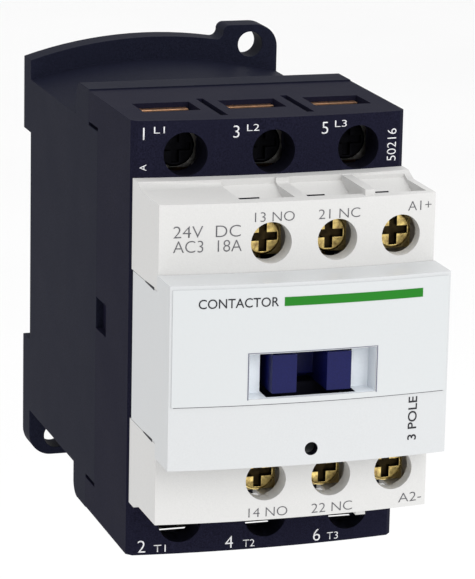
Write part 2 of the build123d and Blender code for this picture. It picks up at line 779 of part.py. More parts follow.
with BuildPart() as aux_contact_springs:
    no_front = aux_no_bridge_rear + aux_bridge_thickness
    add(coil_spring((aux_no_x, -no_front, 0), (0, -1, 0),
                    aux_window_room - aux_bridge_thickness, aux_spring_radius, aux_spring_wire,
                    aux_spring_turns))
    add(coil_spring((aux_nc_x, -aux_nc_window_rear, 0), (0, -1, 0),
                    aux_nc_bridge_front - aux_bridge_thickness - aux_nc_window_rear,
                    aux_spring_radius, aux_spring_wire, aux_spring_turns))
save(aux_contact_springs.part, "aux_contact_springs")

with BuildPart() as return_springs:
    for side in sides:
        add(coil_spring((side * return_spring_x, -bobbin_front, 0), (0, -1, 0),
                        carrier_rear - bobbin_front, return_spring_radius,
                        return_spring_wire))
save(return_springs.part, "return_springs")

# ---- Power terminals, their clamps and screws ----
for number, centre in enumerate(pole_centres, start=1):
    for side, kind in ((1, "line"), (-1, "load")):
        with BuildPart() as terminal:
            block(about(centre, contact_bar_half_width),
                  (chamber_floor, chamber_floor + contact_bar),
                  (side * contact_bar_end, side * chamber_end))
            block(about(centre, contact_bar_half_width), (chamber_floor, terminal_front),
                  (side * (chamber_end - contact_bar), side * chamber_end))
            block(about(centre, terminal_half_width), (terminal_rear, terminal_front),
                  (side * chamber_end, side * terminal_end))
            rod(centre, side * contact_z, contact_radius,
                (chamber_floor + contact_bar, fixed_contact_front))
            rod(centre, side * power_screw_z, power_shank_radius + thread_gap,
                (terminal_rear, terminal_front), mode=Mode.SUBTRACT)
        save(terminal.part, f"{kind}_terminal_{number}")
        terminal_number = 2 * number - 1 if side > 0 else 2 * number
        with BuildPart() as clamp:
            block(about(centre, power_clamp_half_width),
                  (power_clamp_rear, power_clamp_rear + power_clamp_thickness),
                  about(side * power_screw_z, power_clamp_half_length))
            rod(centre, side * power_screw_z, power_shank_radius + thread_gap,
                (power_clamp_rear, power_clamp_rear + power_clamp_thickness),
                mode=Mode.SUBTRACT)
        save(clamp.part, f"power_clamp_{terminal_number}")
        power_screw = screw(centre, side * power_screw_z, power_head_rear, power_head_radius,
                            power_head_height, power_shank_radius,
                            terminal_rear - power_shank_below)
        save(power_screw, f"power_screw_{terminal_number}")

with BuildPart() as arc_plates:
    for centre in pole_centres:
        for side in sides:
            for step in range(arc_plate_count):
                rear = arc_plate_first + step * arc_plate_pitch
                block(about(centre, chamber_half_width), (rear, rear + arc_plate_thickness),
                      (side * arc_plate_inner, side * arc_plate_outer))
                block(about(centre, arc_notch_half_width), (rear, rear + arc_plate_thickness),
                      (side * arc_plate_inner, side * (arc_plate_inner + arc_notch_depth)),
                      mode=Mode.SUBTRACT)
save(arc_plates.part, "arc_plates")

# ---- Control terminals, their clamps and screws ----
for name, (x, side) in control_terminals.items():
    z = side * control_screw_z
    with BuildPart() as terminal:
        block(about(x, control_plate_half_width), (control_floor, control_plate_front),
              (side * control_pocket_inner, side * (control_pocket_outer - part_gap)))
        if x == coil_terminal_x:
            block((x, cavity_half_width), (control_floor, control_plate_front),
                  (side * coil_lead_inner, side * coil_lead_outer))
            block((coil_lead_x, cavity_half_width), (coil_lead_rear, control_plate_front),
                  (side * coil_lead_inner, side * coil_lead_outer))
        else:
            block(about(x, aux_arm_half_width), (control_floor, control_plate_front),
                  (side * aux_arm_end, side * control_pocket_inner))
            button = (control_plate_front, control_plate_front + aux_contact)
            if x == aux_nc_x:
                button = (control_floor - aux_contact, control_floor)
            rod(x, side * aux_contact_z, aux_contact_radius, button)
        rod(x, z, control_shank_radius + thread_gap, (control_floor, control_plate_front),
            mode=Mode.SUBTRACT)
    prefix = "coil_terminal" if x == coil_terminal_x else "aux_terminal"
    save(terminal.part, f"{prefix}_{name}")
    with BuildPart() as clamp:
        block(about(x, control_clamp_half_width),
              (control_clamp_rear, control_clamp_rear + control_clamp_thickness),
              about(z, control_clamp_half_length))
        rod(x, z, control_shank_radius + thread_gap,
            (control_clamp_rear, control_clamp_rear + control_clamp_thickness),
            mode=Mode.SUBTRACT)
    save(clamp.part, f"control_clamp_{name}")
    control_screw = screw(x, z, control_head_rear, control_head_radius, control_head_height,
                          control_shank_radius, control_floor)
    save(control_screw, f"control_screw_{name}")
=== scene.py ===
"""Looks of a three-pole rail contactor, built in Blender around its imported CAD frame.

The shells, screws, clamps, plates and springs are refined copies of the CAD pieces, the
printed marks lie on the bowed faces, and every piece has a procedural finish. Sizes are in
metres, except in the tables of marks, which are in millimetres.
"""

import json
import logging
import math
from dataclasses import dataclass, field
from enum import Enum

import bpy
from mathutils import Matrix, Vector

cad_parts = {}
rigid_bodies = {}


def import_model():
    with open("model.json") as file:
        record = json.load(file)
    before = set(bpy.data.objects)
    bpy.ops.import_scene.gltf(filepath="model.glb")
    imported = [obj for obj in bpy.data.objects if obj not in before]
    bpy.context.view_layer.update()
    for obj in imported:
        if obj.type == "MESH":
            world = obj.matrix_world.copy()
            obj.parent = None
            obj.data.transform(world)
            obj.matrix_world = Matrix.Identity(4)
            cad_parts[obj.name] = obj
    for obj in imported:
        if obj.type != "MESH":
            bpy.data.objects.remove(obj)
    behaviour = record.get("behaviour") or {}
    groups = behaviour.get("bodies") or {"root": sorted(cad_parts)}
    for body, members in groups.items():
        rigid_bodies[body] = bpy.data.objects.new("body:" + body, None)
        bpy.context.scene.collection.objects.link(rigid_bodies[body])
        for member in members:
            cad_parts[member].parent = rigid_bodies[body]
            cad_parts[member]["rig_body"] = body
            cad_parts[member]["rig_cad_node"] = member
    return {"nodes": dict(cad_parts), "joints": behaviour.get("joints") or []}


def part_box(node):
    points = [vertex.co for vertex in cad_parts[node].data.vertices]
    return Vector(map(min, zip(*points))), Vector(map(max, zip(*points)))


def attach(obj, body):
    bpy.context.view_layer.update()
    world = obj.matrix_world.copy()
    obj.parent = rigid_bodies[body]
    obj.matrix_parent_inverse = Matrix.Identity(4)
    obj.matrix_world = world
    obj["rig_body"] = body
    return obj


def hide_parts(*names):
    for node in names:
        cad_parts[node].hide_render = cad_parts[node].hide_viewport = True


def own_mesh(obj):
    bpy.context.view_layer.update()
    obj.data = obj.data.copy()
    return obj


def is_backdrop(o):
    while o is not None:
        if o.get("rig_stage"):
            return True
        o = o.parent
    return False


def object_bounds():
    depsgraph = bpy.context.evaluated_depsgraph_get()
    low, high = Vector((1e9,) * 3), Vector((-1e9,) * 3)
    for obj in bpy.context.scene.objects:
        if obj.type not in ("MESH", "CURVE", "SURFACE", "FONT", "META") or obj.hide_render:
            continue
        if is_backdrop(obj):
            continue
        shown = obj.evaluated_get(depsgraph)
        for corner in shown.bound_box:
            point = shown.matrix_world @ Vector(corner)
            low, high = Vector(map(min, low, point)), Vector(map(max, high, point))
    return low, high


LOG = logging.getLogger("contactor")
MM = 0.001
SMALLEST_GAP = 0.002 * MM  # corners of the CAD triangles closer than this are one corner
FLAT_WITHIN = math.radians(0.3)  # faces that turn by less than this lie in one plane
WALL_TILT = 0.3  # a face whose normal has less depth than this is a wall of a hole
FACING = 0.9  # a face whose normal has more depth than this faces the front
UPRIGHT = Matrix.Rotation(math.radians(90.0), 4, "X")  # stands a flat piece up, facing front


class Face(Enum):
    """Named printing faces, by the name of the shell that carries the print."""

    POWER = "pole_shell"
    CONTROL = "control_shell"
    COVER = "cover_shell"
    LABEL = "label_film"


class Reading(Enum):
    """Which way a line of lettering runs."""

    ACROSS = 0.0
    UPWARDS = 90.0


# ---- Finishes ----


@dataclass(frozen=True)
class Plastic:
    """Moulded plastic with a spark-eroded grain and faint uneven colour.

    Attributes:
        name: Material name.
        colour: Linear base colour.
        roughness: Mean roughness.
        grain: Size of the surface grain in metres.
        relief: Height of the grain in metres.
        speckle: Share by which the grain lightens and darkens the colour.
        specular: Specular level, 0.5 for ordinary plastic.
        patches: Scale of the uneven colour per metre.
        unevenness: Amount by which the roughness varies.
    """

    name: str
    colour: tuple[float, float, float]
    roughness: float = 0.5
    grain: float = 0.00022
    relief: float = 0.00001
    speckle: float = 0.05
    specular: float = 0.5
    patches: float = 90.0
    unevenness: float = 0.02

    def build(self) -> bpy.types.Material:
        """Make the material.

        Returns:
            The new material.
        """
        material, tree, shader = new_material(self.name)
        place = tree.nodes.new("ShaderNodeTexCoord")
        grain = noise(tree, place, 1.0 / self.grain, detail=2.0)
        patches = noise(tree, place, self.patches, detail=3.0)
        dark = tuple(channel * (1.0 - self.speckle) for channel in self.colour)
        light = tuple(min(1.0, channel * (1.0 + self.speckle)) for channel in self.colour)
        colours = ramp(tree, grain, [(0.3, dark), (0.7, light)])
        tree.links.new(mixed(tree, patches, colours, self.colour), shader.inputs["Base Color"])
        spread = ranged(tree, patches, self.roughness - self.unevenness,
                        self.roughness + self.unevenness)
        tree.links.new(spread.outputs["Result"], shader.inputs["Roughness"])
        shader.inputs["Specular IOR Level"].default_value = self.specular
        bumped(tree, grain, shader, self.relief)
        return material


@dataclass(frozen=True)
class Metal:
    """Plated or stamped metal with fine drawn lines and uneven plating.

    Attributes:
        name: Material name.
        colour: Linear base colour.
        tint: Colour that the plating drifts to.
        roughness: Mean roughness.
        drift: Size of the plating's patches in metres.
        lines: Width of the drawn lines in metres.
        relief: Height of the drawn lines in metres.
        stretch: Scale of the drawn lines along each axis, small along the drawing.
        polish: How far the smoothest lines fall below the mean roughness.
        wear: How far the roughest lines rise above it.
    """

    name: str
    colour: tuple[float, float, float]
    tint: tuple[float, float, float]
    roughness: float = 0.3
    drift: float = 0.0015
    lines: float = 0.00012
    relief: float = 0.000004
    stretch: tuple[float, float, float] = (1.0, 0.12, 0.35)
    polish: float = 0.08
    wear: float = 0.12

    def build(self) -> bpy.types.Material:
        """Make the material.

        Returns:
            The new material.
        """
        material, tree, shader = new_material(self.name)
        shader.inputs["Metallic"].default_value = 1.0
        place = tree.nodes.new("ShaderNodeTexCoord")
        patches = noise(tree, place, 1.0 / self.drift, detail=3.0)
        stretch = tree.nodes.new("ShaderNodeMapping")
        stretch.inputs["Scale"].default_value = self.stretch
        tree.links.new(place.outputs["Object"], stretch.inputs["Vector"])
        drawn = tree.nodes.new("ShaderNodeTexNoise")
        drawn.inputs["Scale"].default_value = 1.0 / self.lines
        drawn.inputs["Detail"].default_value = 2.0
        tree.links.new(stretch.outputs["Vector"], drawn.inputs["Vector"])
        colours = ramp(tree, patches, [(0.35, self.colour), (0.7, self.tint)])
        tree.links.new(colours.outputs["Color"], shader.inputs["Base Color"])
        spread = ranged(tree, drawn, self.roughness - self.polish, self.roughness + self.wear)
        tree.links.new(spread.outputs["Result"], shader.inputs["Roughness"])
        bumped(tree, drawn, shader, self.relief)
        return material


@dataclass(frozen=True)
class Winding:
    """Enamelled wire wound in close turns along the depth.

    Attributes:
        name: Material name.
        colour: Linear colour of the enamel.
        wire: Wire diameter in metres.
        gap_shade: Share of the colour that is left between two turns.
        turns_scale: Wave scale that gives one band per metre.
    """

    name: str
    colour: tuple[float, float, float]
    wire: float = 0.0003
    gap_shade: float = 0.35
    turns_scale: float = 0.314

    def build(self) -> bpy.types.Material:
        """Make the material.

        Returns:
            The new material.
        """
        material, tree, shader = new_material(self.name)
        shader.inputs["Metallic"].default_value = 0.7
        shader.inputs["Roughness"].default_value = 0.28
        shader.inputs["Coat Weight"].default_value = 0.6
        place = tree.nodes.new("ShaderNodeTexCoord")
        turns = tree.nodes.new("ShaderNodeTexWave")
        turns.bands_direction = "Y"
        turns.inputs["Scale"].default_value = self.turns_scale / self.wire
        turns.inputs["Distortion"].default_value = 0.4
        tree.links.new(place.outputs["Object"], turns.inputs["Vector"])
        dark = tuple(channel * self.gap_shade for channel in self.colour)
        colours = ramp(tree, turns, [(0.1, dark), (0.6, self.colour)])
        tree.links.new(colours.outputs["Color"], shader.inputs["Base Color"])
        bumped(tree, turns, shader, self.wire / 4)
        return material


@dataclass(frozen=True)
class Ink:
    """Printed ink, slightly uneven in cover.

    Attributes:
        name: Material name.
        colour: Linear colour of the ink.
        roughness: Roughness of the dried ink.
        specular: Specular level.
        mottle: Scale of the uneven cover per metre.
    """

    name: str
    colour: tuple[float, float, float]
    roughness: float = 0.45
    specular: float = 0.2
    mottle: float = 5000.0

    def build(self) -> bpy.types.Material:
        """Make the material.

        Returns:
            The new material.
        """
        material, tree, shader = new_material(self.name)
        place = tree.nodes.new("ShaderNodeTexCoord")
        cover = noise(tree, place, self.mottle, detail=2.0)
        thin = tuple(min(1.0, channel * 0.85 + 0.008) for channel in self.colour)
        colours = ramp(tree, cover, [(0.35, thin), (0.6, self.colour)])
        tree.links.new(colours.outputs["Color"], shader.inputs["Base Color"])
        shader.inputs["Roughness"].default_value = self.roughness
        shader.inputs["Specular IOR Level"].default_value = self.specular
        return material


def new_material(name: str) -> tuple[bpy.types.Material, bpy.types.NodeTree, bpy.types.Node]:
    """Make an empty node material with its shader.

    Args:
        name: Material name.

    Returns:
        The material, its node tree and its Principled shader.
    """
    material = bpy.data.materials.new(name)
    material.use_nodes = True
    shader = material.node_tree.nodes["Principled BSDF"]
    return material, material.node_tree, shader


def noise(tree: bpy.types.NodeTree, place: bpy.types.Node, scale: float,
          detail: float) -> bpy.types.Node:
    """Add a noise texture on object coordinates.

    Args:
        tree: Node tree.
        place: Texture coordinate node.
        scale: Noise scale per metre.
        detail: Noise detail.

    Returns:
        The noise node.
    """
    node = tree.nodes.new("ShaderNodeTexNoise")
    node.inputs["Scale"].default_value = scale
    node.inputs["Detail"].default_value = detail
    tree.links.new(place.outputs["Object"], node.inputs["Vector"])
    return node


def level(source: bpy.types.Node) -> bpy.types.NodeSocket:
    """The output of a texture node that carries its level."""
    return source.outputs["Fac" if "Fac" in source.outputs else "Color"]


def ramp(tree: bpy.types.NodeTree, source: bpy.types.Node,
         stops: list[tuple[float, tuple[float, ...]]]) -> bpy.types.Node:
    """Add a colour ramp driven by a texture.

    Args:
        tree: Node tree.
        source: Texture node.
        stops: Pairs of position and linear colour.

    Returns:
        The ramp node.
    """
    node = tree.nodes.new("ShaderNodeValToRGB")
    for element, (position, colour) in zip(node.color_ramp.elements, stops):
        element.position = position
        element.color = (*colour, 1.0)
    tree.links.new(level(source), node.inputs["Fac"])
    return node


def mixed(tree: bpy.types.NodeTree, source: bpy.types.Node, colours: bpy.types.Node,
          plain: tuple[float, float, float]) -> bpy.types.NodeSocket:
    """Mix a ramp's colours with a plain colour, patch by patch.

    Args:
        tree: Node tree.
        source: Texture that sets the patches.
        colours: Ramp node.
        plain: Linear colour between the patches.

    Returns:
        The socket that carries the mixed colour.
    """
    node = tree.nodes.new("ShaderNodeMix")
    node.data_type = "RGBA"
    tree.links.new(level(source), node.inputs["Factor"])
    speckled, even = (socket for socket in node.inputs if socket.type == "RGBA")
    tree.links.new(colours.outputs["Color"], speckled)
    even.default_value = (*plain, 1.0)
    return next(socket for socket in node.outputs if socket.type == "RGBA")


def ranged(tree: bpy.types.NodeTree, source: bpy.types.Node, low: float,
           high: float) -> bpy.types.Node:
    """Map a texture to a range of values.

    Args:
        tree: Node tree.
        source: Texture node.
        low: Value where the texture is darkest.
        high: Value where the texture is lightest.

    Returns:
        The map range node.
    """
    node = tree.nodes.new("ShaderNodeMapRange")
    node.inputs["From Min"].default_value = 0.25
    node.inputs["From Max"].default_value = 0.75
    node.inputs["To Min"].default_value = low
    node.inputs["To Max"].default_value = high
    tree.links.new(level(source), node.inputs["Value"])
    return node


def bumped(tree: bpy.types.NodeTree, source: bpy.types.Node, shader: bpy.types.Node,
           height: float) -> None:
    """Raise a texture as fine relief on the shader.

    Args:
        tree: Node tree.
        source: Texture node.
        shader: Principled shader.
        height: Height of the relief in metres.
    """
    node = tree.nodes.new("ShaderNodeBump")
    node.inputs["Strength"].default_value = 1.0
    node.inputs["Distance"].default_value = height
    tree.links.new(level(source), node.inputs["Height"])
    tree.links.new(node.outputs["Normal"], shader.inputs["Normal"])


# ---- Modelling helpers ----


def pick(piece: bpy.types.Object) -> None:
    """Deselect everything, then select the piece and make it active.

    Args:
        piece: The piece to work on.
    """
    bpy.ops.object.select_all(action="DESELECT")
    piece.select_set(True)
    bpy.context.view_layer.objects.active = piece


def active() -> bpy.types.Object:
    """The active object."""
    return bpy.context.view_layer.objects.active


def joined_up(pieces: list[bpy.types.Object], name: str) -> bpy.types.Object:
    """Join pieces into one and name it.

    Args:
        pieces: The pieces, at least one.
        name: Name of the joined piece.

    Returns:
        The joined piece.
    """
    pick(pieces[0])
    for piece in pieces[1:]:
        piece.select_set(True)
    if len(pieces) > 1:
        bpy.ops.object.join()
    active().name = name
    return active()


def stood_up(piece: bpy.types.Object, place: Matrix) -> bpy.types.Object:
    """Put a piece in its place and keep that place in its mesh.

    Args:
        piece: A piece at the origin.
        place: Where it goes, how it is turned and its scale.

    Returns:
        The same piece.
    """
    piece.matrix_world = place
    pick(piece)
    bpy.ops.object.transform_apply(location=True, rotation=True, scale=True)
    return piece


def finish_modifier(piece: bpy.types.Object, modifier: bpy.types.Modifier) -> None:
    """Apply a modifier to its piece."""
    pick(piece)
    bpy.ops.object.modifier_apply(modifier=modifier.name)


def coated(piece: bpy.types.Object, material: bpy.types.Material) -> None:
    """Give the piece one material all over."""
    piece.data.materials.clear()
    piece.data.materials.append(material)


def refined(source: bpy.types.Object, name: str, edge: float, segments: int = 2,
            sharp: float = 32.0, joined: bool = True) -> bpy.types.Object:
    """Copy a CAD piece, merge its triangles and round its edges.

    Args:
        source: The CAD node's object.
        name: Name of the new piece.
        edge: Radius of the rounded edges in metres.
        segments: Segments across a rounded edge.
        sharp: Edges that turn by more degrees than this are rounded.
        joined: Whether triangles in one plane are joined into larger faces first.

    Returns:
        The refined copy, at the origin.
    """
    pick(source)
    bpy.ops.object.duplicate()
    piece = active()
    piece.name = name
    piece.parent = None
    piece.matrix_world = Matrix.Identity(4)
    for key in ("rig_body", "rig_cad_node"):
        if key in piece:
            del piece[key]
    if piece.data.has_custom_normals:
        bpy.ops.mesh.customdata_custom_splitnormals_clear()
    bpy.ops.object.mode_set(mode="EDIT")
    bpy.ops.mesh.select_all(action="SELECT")
    bpy.ops.mesh.remove_doubles(threshold=SMALLEST_GAP)
    if joined:
        bpy.ops.mesh.dissolve_limited(angle_limit=FLAT_WITHIN)
    bpy.ops.object.mode_set(mode="OBJECT")
    if edge > 0.0:
        bevel = piece.modifiers.new("rounded", "BEVEL")
        bevel.width = edge
        bevel.segments = segments
        bevel.limit_method = "ANGLE"
        bevel.angle_limit = math.radians(sharp)
        bevel.harden_normals = False
        bevel.miter_outer = "MITER_ARC"
        finish_modifier(piece, bevel)
    pick(piece)
    bpy.ops.object.shade_smooth_by_angle(angle=math.radians(sharp))
    levelled = piece.modifiers.new("levelled", "WEIGHTED_NORMAL")
    levelled.weight = 100
    levelled.keep_sharp = True
    finish_modifier(piece, levelled)
    return piece


def placed(piece: bpy.types.Object, body: str, slot: str, material: bpy.types.Material,
           *nodes: str) -> bpy.types.Object:
    """Coat a finished piece, put it on its body and hide the CAD nodes that it stands for.

    Args:
        piece: The finished piece.
        body: The CAD body that it rides on.
        slot: Not used.
        material: Its finish.
        nodes: CAD nodes that it stands for.

    Returns:
        The same piece.
    """
    coated(piece, material)
    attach(piece, body)
    if nodes:
        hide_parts(*nodes)
    LOG.info("%s: %d faces on %s", piece.name, len(piece.data.polygons), body)
    return piece


def named(nodes: dict[str, bpy.types.Object], prefix: str) -> list[str]:
    """The names of the CAD nodes that start with a prefix, in order."""
    return sorted(name for name in nodes if name.startswith(prefix))


# ---- The finishes of this contactor ----


RECIPES = (
    Plastic("black_moulding", (0.0105, 0.0105, 0.022),
            roughness=0.5, grain=0.22 * MM, relief=0.012 * MM, speckle=0.6, specular=0.008),
    Plastic("black_base", (0.0105, 0.0115, 0.022),
            roughness=0.52, grain=0.22 * MM, relief=0.012 * MM, speckle=0.6, specular=0.012),
    Plastic("white_moulding", (0.6, 0.597, 0.588),
            roughness=0.5, grain=0.22 * MM, relief=0.008 * MM, speckle=0.05, specular=0.3),
    Plastic("cover_moulding", (0.56, 0.572, 0.58),
            roughness=0.42, grain=0.25 * MM, relief=0.005 * MM, speckle=0.035, specular=0.3),
    Plastic("label_film", (0.56, 0.578, 0.586),
            roughness=0.36, grain=0.4 * MM, relief=0.002 * MM, speckle=0.012, specular=0.3),
    Plastic("blue_moulding", (0.005, 0.0065, 0.065),
            roughness=0.35, grain=0.3 * MM, relief=0.006 * MM, speckle=0.3, specular=0.2),
    # painted light: the window's pocket is paler than the cover so that it looks lit where it
    # lies in shade
    Plastic("window_lining", (0.8, 0.84, 0.88),
            roughness=0.4, grain=0.3 * MM, relief=0.004 * MM, speckle=0.03, specular=0.3),
    # painted shade: near-black lining for holes, slots, the opening behind the window, its
    # sleeve and the wing catches
    Plastic("opening_lining", (0.006, 0.006, 0.012),
            roughness=0.5, grain=0.3 * MM, relief=0.006 * MM, speckle=0.3, specular=0.1),
    Plastic("bobbin_moulding", (0.62, 0.6, 0.5),
            roughness=0.5, grain=0.25 * MM, relief=0.008 * MM, speckle=0.05),
    # painted shade: the power screws are near-black so that they read as lying in the shade of
    # their deep holes
    Metal("screw_steel", (0.008, 0.008, 0.01), (0.005, 0.005, 0.006), roughness=0.5),
    Metal("clamp_steel", (0.45, 0.44, 0.42), (0.32, 0.3, 0.26), roughness=0.34),
    Metal("yellow_steel", (0.86, 0.66, 0.24), (0.3, 0.2, 0.08),
          roughness=0.16, drift=0.7 * MM),
    # painted shade: dark finish of the control screws' cross recesses, standing in for the shade
    # inside them
    Metal("recess_steel", (0.05, 0.035, 0.015), (0.02, 0.014, 0.008), roughness=0.5),
    Metal("yellow_clamp", (0.75, 0.6, 0.3), (0.6, 0.5, 0.26), roughness=0.3),
    Metal("terminal_copper", (0.62, 0.33, 0.18), (0.36, 0.22, 0.12),
          roughness=0.32, drift=0.9 * MM),
    Metal("terminal_brass", (0.8, 0.6, 0.3), (0.7, 0.5, 0.25), roughness=0.3),
    Metal("contact_silver", (0.85, 0.83, 0.8), (0.78, 0.62, 0.5), roughness=0.3),
    Metal("spring_wire", (0.5, 0.5, 0.52), (0.42, 0.42, 0.45), roughness=0.28),
    Metal("magnet_steel", (0.42, 0.42, 0.44), (0.34, 0.33, 0.34), roughness=0.36),
    Metal("zinc_steel", (0.6, 0.61, 0.63), (0.5, 0.52, 0.56), roughness=0.34),
    Winding("enamelled_wire", (0.5, 0.16, 0.05)),
    Ink("white_ink", (0.82, 0.82, 0.84)),
    Ink("grey_ink", (0.12, 0.12, 0.13)),
    Ink("dark_ink", (0.015, 0.015, 0.02)),
    Ink("frame_ink", (0.13, 0.135, 0.19)),
    Ink("green_ink", (0.008, 0.18, 0.006)),
)


@dataclass
class Finishes:
    """All the finishes of the contactor, made once.

    Attributes:
        made: The materials by name.
    """

    made: dict[str, bpy.types.Material] = field(default_factory=dict)

    def build(self) -> None:
        """Make every material."""
        for recipe in RECIPES:
            self.made[recipe.name] = recipe.build()
            LOG.info("finish %s", recipe.name)

    def __getitem__(self, name: str) -> bpy.types.Material:
        """The material of that name."""
        return self.made[name]


# ---- Sub-assemblies ----


@dataclass(frozen=True)
class Shell:
    """One moulded shell of the casing.

    Attributes:
        node: The CAD node that it refines.
        name: Name of the piece.
        body: The body that it rides on.
        slot: The record's material slot.
        finish: Name of its finish.
        edge: Radius of its rounded edges.
    """

    node: str
    name: str
    body: str
    slot: str
    finish: str
    edge: float


SHELLS = (
    Shell("base_housing", "base_shell", "root", "black_plastic", "black_base", 0.3 * MM),
    Shell("pole_housing", "pole_shell", "root", "black_plastic", "black_moulding", 0.25 * MM),
    Shell("control_housing", "control_shell", "root", "white_plastic", "white_moulding",
          0.2 * MM),
    Shell("front_cover", "cover_shell", "root", "cover_plastic", "cover_moulding", 0.25 * MM),
    Shell("front_label", "label_film", "root", "label_film", "label_film", 0.0),
    Shell("contact_carrier", "carrier_moulding", "carrier", "blue_plastic", "blue_moulding",
          0.15 * MM),
    Shell("rail_latch", "latch_moulding", "latch", "black_plastic", "black_base", 0.15 * MM),
)


@dataclass
class Casing:
    """The moulded shells, with rounded edges, finishes, and painted light and shade in their
    hollows.

    Attributes:
        finishes: All the finishes.
        window_half_width: Half the width of the cover's window.
        window_half_height: Half its height.
        window_edge: Depth below the cover's face at which the window's walls begin.
        pocket_depth: Depth below the cover's face at which the window's pocket has ended.
        opening_half_width: Half the width of the opening behind the window.
        opening_drop: How much lower than the window the opening reaches.
        hole_radius: Radius of the power screws' holes.
        pin_hole_height: Height of the pin hole's axis.
        pin_hole_radius: Radius of the pin hole.
        wire_slot_rear: Place in depth of the control wire slots' rear walls.
        slack: How far past a size a face may lie and still belong to it.
        shells: The finished shells by name.
    """

    finishes: Finishes
    window_half_width: float = 10.2 * MM
    window_half_height: float = 3.55 * MM
    window_edge: float = 0.5 * MM
    pocket_depth: float = 3.9 * MM
    opening_half_width: float = 7.4 * MM
    opening_drop: float = 0.9 * MM
    hole_radius: float = 3.5 * MM
    pin_hole_height: float = -12.0 * MM
    pin_hole_radius: float = 1.05 * MM
    wire_slot_rear: float = -78.2 * MM
    slack: float = 0.1 * MM
    shells: dict[str, bpy.types.Object] = field(default_factory=dict)

    def paint_wire_slot_shade(self, shell: bpy.types.Object) -> None:
        """Paint the rear walls of the control wires' slots dark, as painted shade.

        Args:
            shell: The refined control housing.
        """
        shell.data.materials.append(self.finishes["opening_lining"])
        for face in shell.data.polygons:
            at_wall = abs(face.center.y - self.wire_slot_rear) < self.slack
            if at_wall and face.normal.y < -FACING:
                face.material_index = 1

    def paint_hole_shade(self, shell: bpy.types.Object, screws: list[str]) -> None:
        """Paint the walls of the power screws' holes dark, as painted shade.

        Args:
            shell: The refined pole housing.
            screws: Names of the power screws' CAD nodes.
        """
        shell.data.materials.append(self.finishes["opening_lining"])
        for name in screws:
            low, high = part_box(name)
            middle = (low + high) / 2
            for face in shell.data.polygons:
                away = math.hypot(face.center.x - middle.x, face.center.z - middle.z)
                if away < self.hole_radius + self.slack and abs(face.normal.y) < WALL_TILT:
                    face.material_index = 1

    def paint_window_light_and_shade(self, cover: bpy.types.Object) -> None:
        """Painted light in the window's pocket; painted shade in the opening behind it and the
        pin hole.

        Args:
            cover: The refined front cover.
        """
        cover.data.materials.append(self.finishes["window_lining"])
        cover.data.materials.append(self.finishes["opening_lining"])
        front = min(vertex.co.y for vertex in cover.data.vertices)
        bottom = -self.window_half_height - self.slack
        top = self.window_half_height + self.slack
        for face in cover.data.polygons:
            x, z = face.center.x, face.center.z
            depth = face.center.y - front
            in_pocket = abs(x) < self.window_half_width + self.slack and bottom < z < top
            in_opening = (abs(x) < self.opening_half_width + self.slack
                          and bottom - self.opening_drop < z < top)
            in_hole = math.hypot(x, z - self.pin_hole_height) < self.pin_hole_radius + self.slack
            behind = depth > self.pocket_depth or z < bottom
            if in_pocket and self.window_edge < depth < self.pocket_depth:
                face.material_index = 1
            if in_opening and depth > self.window_edge and behind:
                face.material_index = 2
            if in_hole and abs(face.normal.y) < WALL_TILT:
                face.material_index = 2

    def build(self, nodes: dict[str, bpy.types.Object]) -> None:
        """Refine and dress every shell.

        Args:
            nodes: CAD node objects by name.
        """
        for shell in SHELLS:
            piece = refined(nodes[shell.node], shell.name, shell.edge)
            placed(piece, shell.body, shell.slot, self.finishes[shell.finish], shell.node)
            self.shells[shell.name] = piece
        # Painted light in the window's pocket, painted shade in the opening, the wire slots and
        # the holes.
        self.paint_window_light_and_shade(self.shells["cover_shell"])
        self.paint_wire_slot_shade(self.shells["control_shell"])
        self.paint_hole_shade(self.shells["pole_shell"], named(nodes, "power_screw"))


@dataclass
class Terminals:
    """Screws, clamps and terminal plates of the power and control sides.

    Attributes:
        finishes: All the finishes.
        edge: Radius of their rounded edges.
        recess_rim: Depth below a screw's head at which its recess begins.
        recess_floor: Depth below a screw's head at which its recess has ended.
        recess_reach: Length of the recess as a share of the head's width.
    """

    finishes: Finishes
    edge: float = 0.12 * MM
    recess_rim: float = 0.132 * MM
    recess_floor: float = 1.21 * MM
    recess_reach: float = 0.83

    def paint_recess_shade(self, screw: bpy.types.Object) -> None:
        """Paint the cross recess of a screw dark, as painted shade inside the recess.

        Args:
            screw: A refined screw whose head faces the front.
        """
        screw.data.materials.append(self.finishes["recess_steel"])
        points = [vertex.co for vertex in screw.data.vertices]
        front = min(point.y for point in points)
        middle_x = (min(point.x for point in points) + max(point.x for point in points)) / 2
        middle_z = (min(point.z for point in points) + max(point.z for point in points)) / 2
        radius = max(point.x for point in points) - middle_x
        for face in screw.data.polygons:
            away = math.hypot(face.center.x - middle_x, face.center.z - middle_z)
            depth = face.center.y - front
            inside = away < radius * self.recess_reach
            if inside and self.recess_rim < depth < self.recess_floor:
                face.material_index = 1

    def build(self, nodes: dict[str, bpy.types.Object]) -> None:
        """Refine and dress every screw, clamp and plate.

        Args:
            nodes: CAD node objects by name.
        """
        kinds = (
            # The power screws' near-black finish is painted shade for their deep holes.
            ("power_screw", "screw_steel", "screw_steel"),
            ("power_clamp", "clamp_steel", "clamp_steel"),
            ("control_screw", "yellow_steel", "yellow_steel"),
            ("control_clamp", "yellow_clamp", "yellow_clamp"),
        )
        for prefix, slot, finish in kinds:
            for node in named(nodes, prefix):
                piece = refined(nodes[node], node + "_detail", self.edge, joined=False)
                placed(piece, node, slot, self.finishes[finish], node)
                if prefix == "control_screw":
                    self.paint_recess_shade(piece)
        plates = (
            ("line_terminal", "tinned_copper", "terminal_copper"),
            ("load_terminal", "tinned_copper", "terminal_copper"),
            ("aux_terminal", "brass_plate", "terminal_brass"),
            ("coil_terminal", "brass_plate", "terminal_brass"),
        )
        for prefix, slot, finish in plates:
            for node in named(nodes, prefix):
                piece = refined(nodes[node], node + "_detail", self.edge)
                placed(piece, "root", slot, self.finishes[finish], node)


